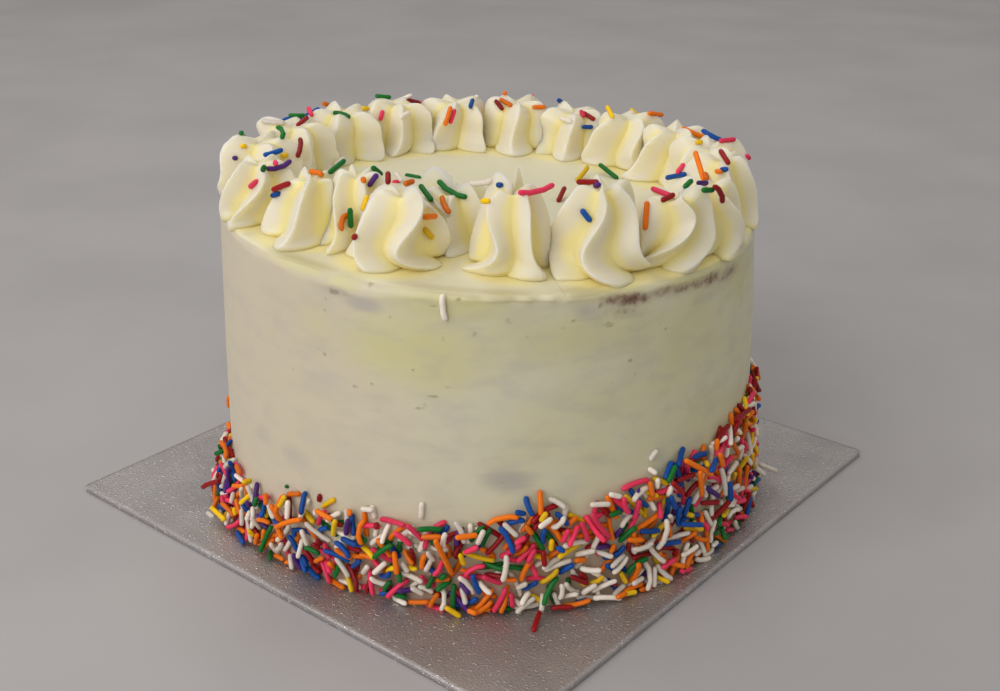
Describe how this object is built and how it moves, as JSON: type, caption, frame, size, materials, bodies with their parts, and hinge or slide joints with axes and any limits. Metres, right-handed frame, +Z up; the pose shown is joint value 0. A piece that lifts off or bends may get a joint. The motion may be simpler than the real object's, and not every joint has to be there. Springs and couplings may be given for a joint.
{
  "type": "iced layer cake on square cake card",
  "caption": "Round layer cake in scraped buttercream on a thin square foil card, with a ring of piped star swirls on its rim and a band of rod sprinkles round its foot.",
  "frame": {"origin": "centre of the square card's underside, on the surface that the cake stands on", "axes": "+Z up, +X and +Y along the card's sides; the cake's front, with its tallest swirls, faces the corner between +X and -Y"},
  "size_m": [0.2032, 0.2032, 0.1335],
  "materials": {
    "icing": "scraped buttercream, semi-matt, ivory, with faint scraper marks and thin patches",
    "cream": "piped buttercream, soft satin, pale ivory with yellower grooves",
    "foil": "silver foil with a fine embossed grain over board",
    "sprinkle_white": "white sugar rod with a thin satin glaze",
    "sprinkle_pink": "pink sugar rod with a thin satin glaze",
    "sprinkle_red": "red sugar rod with a thin satin glaze",
    "sprinkle_orange": "orange sugar rod with a thin satin glaze",
    "sprinkle_yellow": "yellow sugar rod with a thin satin glaze",
    "sprinkle_green": "green sugar rod with a thin satin glaze",
    "sprinkle_blue": "blue sugar rod with a thin satin glaze",
    "sprinkle_purple": "purple sugar rod with a thin satin glaze"
  },
  "bodies": {
    "root": {"cake_card": "foil", "iced_cake": "icing", "swirl_01": "cream", "swirl_02": "cream", "swirl_03": "cream", "swirl_04": "cream", "swirl_05": "cream", "swirl_06": "cream", "swirl_07": "cream", "swirl_08": "cream", "swirl_09": "cream", "swirl_10": "cream", "swirl_11": "cream", "swirl_12": "cream", "swirl_13": "cream", "swirl_14": "cream", "swirl_15": "cream", "swirl_16": "cream", "swirl_17": "cream", "swirl_18": "cream", "swirl_19": "cream", "swirl_20": "cream"}
  },
  "joints": []
}
